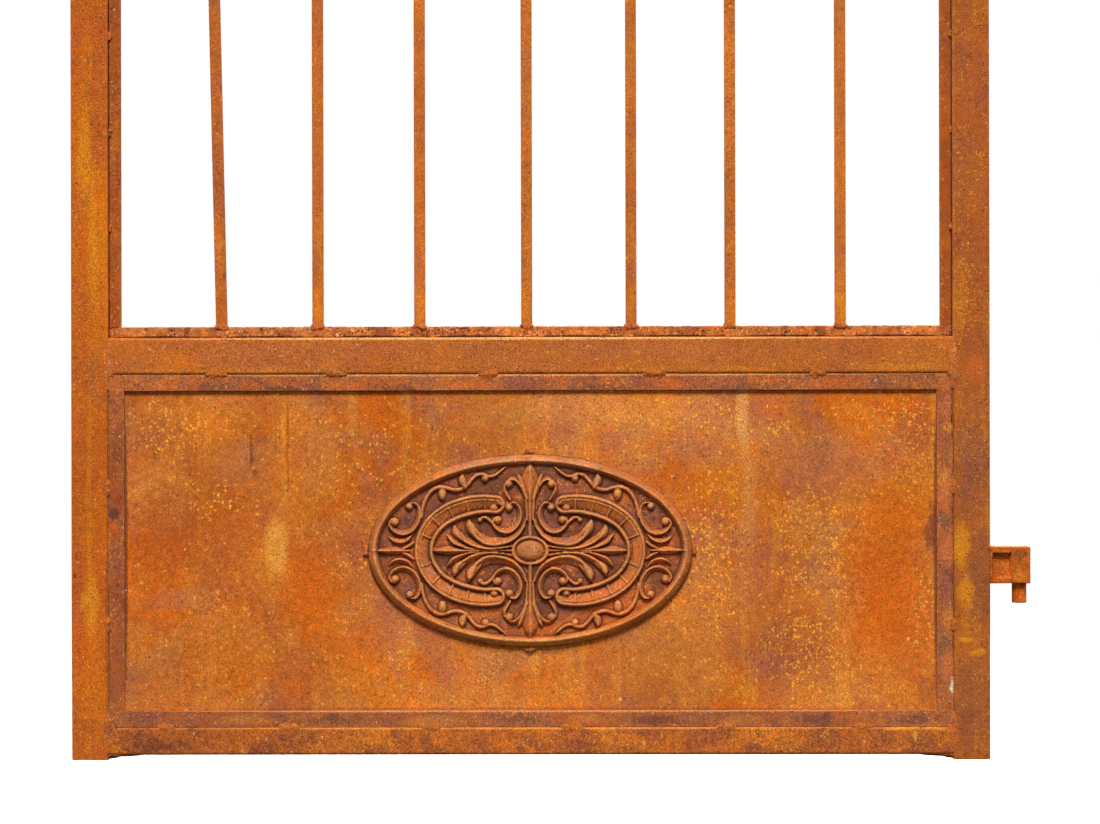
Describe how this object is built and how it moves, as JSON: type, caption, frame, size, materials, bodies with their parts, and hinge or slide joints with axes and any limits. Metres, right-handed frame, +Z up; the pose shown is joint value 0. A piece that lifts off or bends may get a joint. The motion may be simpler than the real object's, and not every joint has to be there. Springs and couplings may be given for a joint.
{
  "type": "garden gate",
  "caption": "Rusted steel garden gate leaf: tube frame, upright bar grille above, sheet panel with an oval cast medallion below, hung on two hinge pins and shut by a sliding rod latch.",
  "frame": {"origin": "on the hinge axis, at the underside of the lower hinge block, where the leaf rests on its pin's shoulder", "axes": "+X along the leaf from the latch side to the hinge side, front (medallion side) faces -Y, +Z up along the hinge axis"},
  "size_m": [1.044, 0.0895, 1.2],
  "materials": {
    "stile_rust": "bare steel under heavy matt orange rust",
    "rail_rust": "bare steel under heavy matt orange-brown rust",
    "strip_rust": "bare steel under matt purple-brown rust",
    "sheet_rust": "sheet steel under mottled matt orange rust",
    "cast_rust": "cast iron under matt brown rust",
    "bar_rust": "bare steel bar under matt orange-brown rust",
    "hinge_rust": "bare steel under matt orange rust",
    "latch_rust": "bare steel under matt brown rust, worn where it slides",
    "weld_rust": "lumpy weld metal under matt rust"
  },
  "bodies": {
    "hinge_pins": {"lower_hinge_pin": "hinge_rust", "upper_hinge_pin": "hinge_rust"},
    "leaf": {"left_stile": "stile_rust", "right_stile": "stile_rust", "bottom_rail": "rail_rust", "mid_rail": "rail_rust", "top_rail": "rail_rust", "stile_end_caps": "rail_rust", "panel_strip_top": "strip_rust", "panel_strip_bottom": "strip_rust", "panel_strip_left": "strip_rust", "panel_strip_right": "strip_rust", "panel_sheet": "sheet_rust", "medallion": "cast_rust", "grille_bottom_bar": "bar_rust", "grille_top_bar": "bar_rust", "grille_side_bar_left": "bar_rust", "grille_side_bar_right": "bar_rust", "grille_bar_1": "bar_rust", "grille_bar_2": "bar_rust", "grille_bar_3": "bar_rust", "grille_bar_4": "bar_rust", "grille_bar_5": "bar_rust", "grille_bar_6": "bar_rust", "grille_bar_7": "bar_rust", "lower_hinge_bracket": "hinge_rust", "lower_hinge_block": "hinge_rust", "upper_hinge_bracket": "hinge_rust", "upper_hinge_block": "hinge_rust", "latch_guide_lug": "latch_rust", "frame_corner_welds": "weld_rust", "panel_strip_welds": "weld_rust", "panel_sheet_welds": "weld_rust", "grille_bar_welds": "weld_rust", "grille_tack_welds": "weld_rust", "medallion_welds": "weld_rust", "hinge_welds": "weld_rust", "latch_welds": "weld_rust"},
    "latch_bolt": {"latch_rod": "latch_rust", "latch_handle": "latch_rust", "latch_stop_collar": "latch_rust"}
  },
  "joints": [
    {"name": "leaf_swing", "type": "hinge", "parent": "hinge_pins", "child": "leaf", "pos_m": [0, 0, 0], "axis": [0, 0, -1], "range_deg": [0, 100]},
    {"name": "latch_slide", "type": "slide", "parent": "leaf", "child": "latch_bolt", "axis": [-1, 0, 0], "range_m": [0, 0.04]}
  ]
}
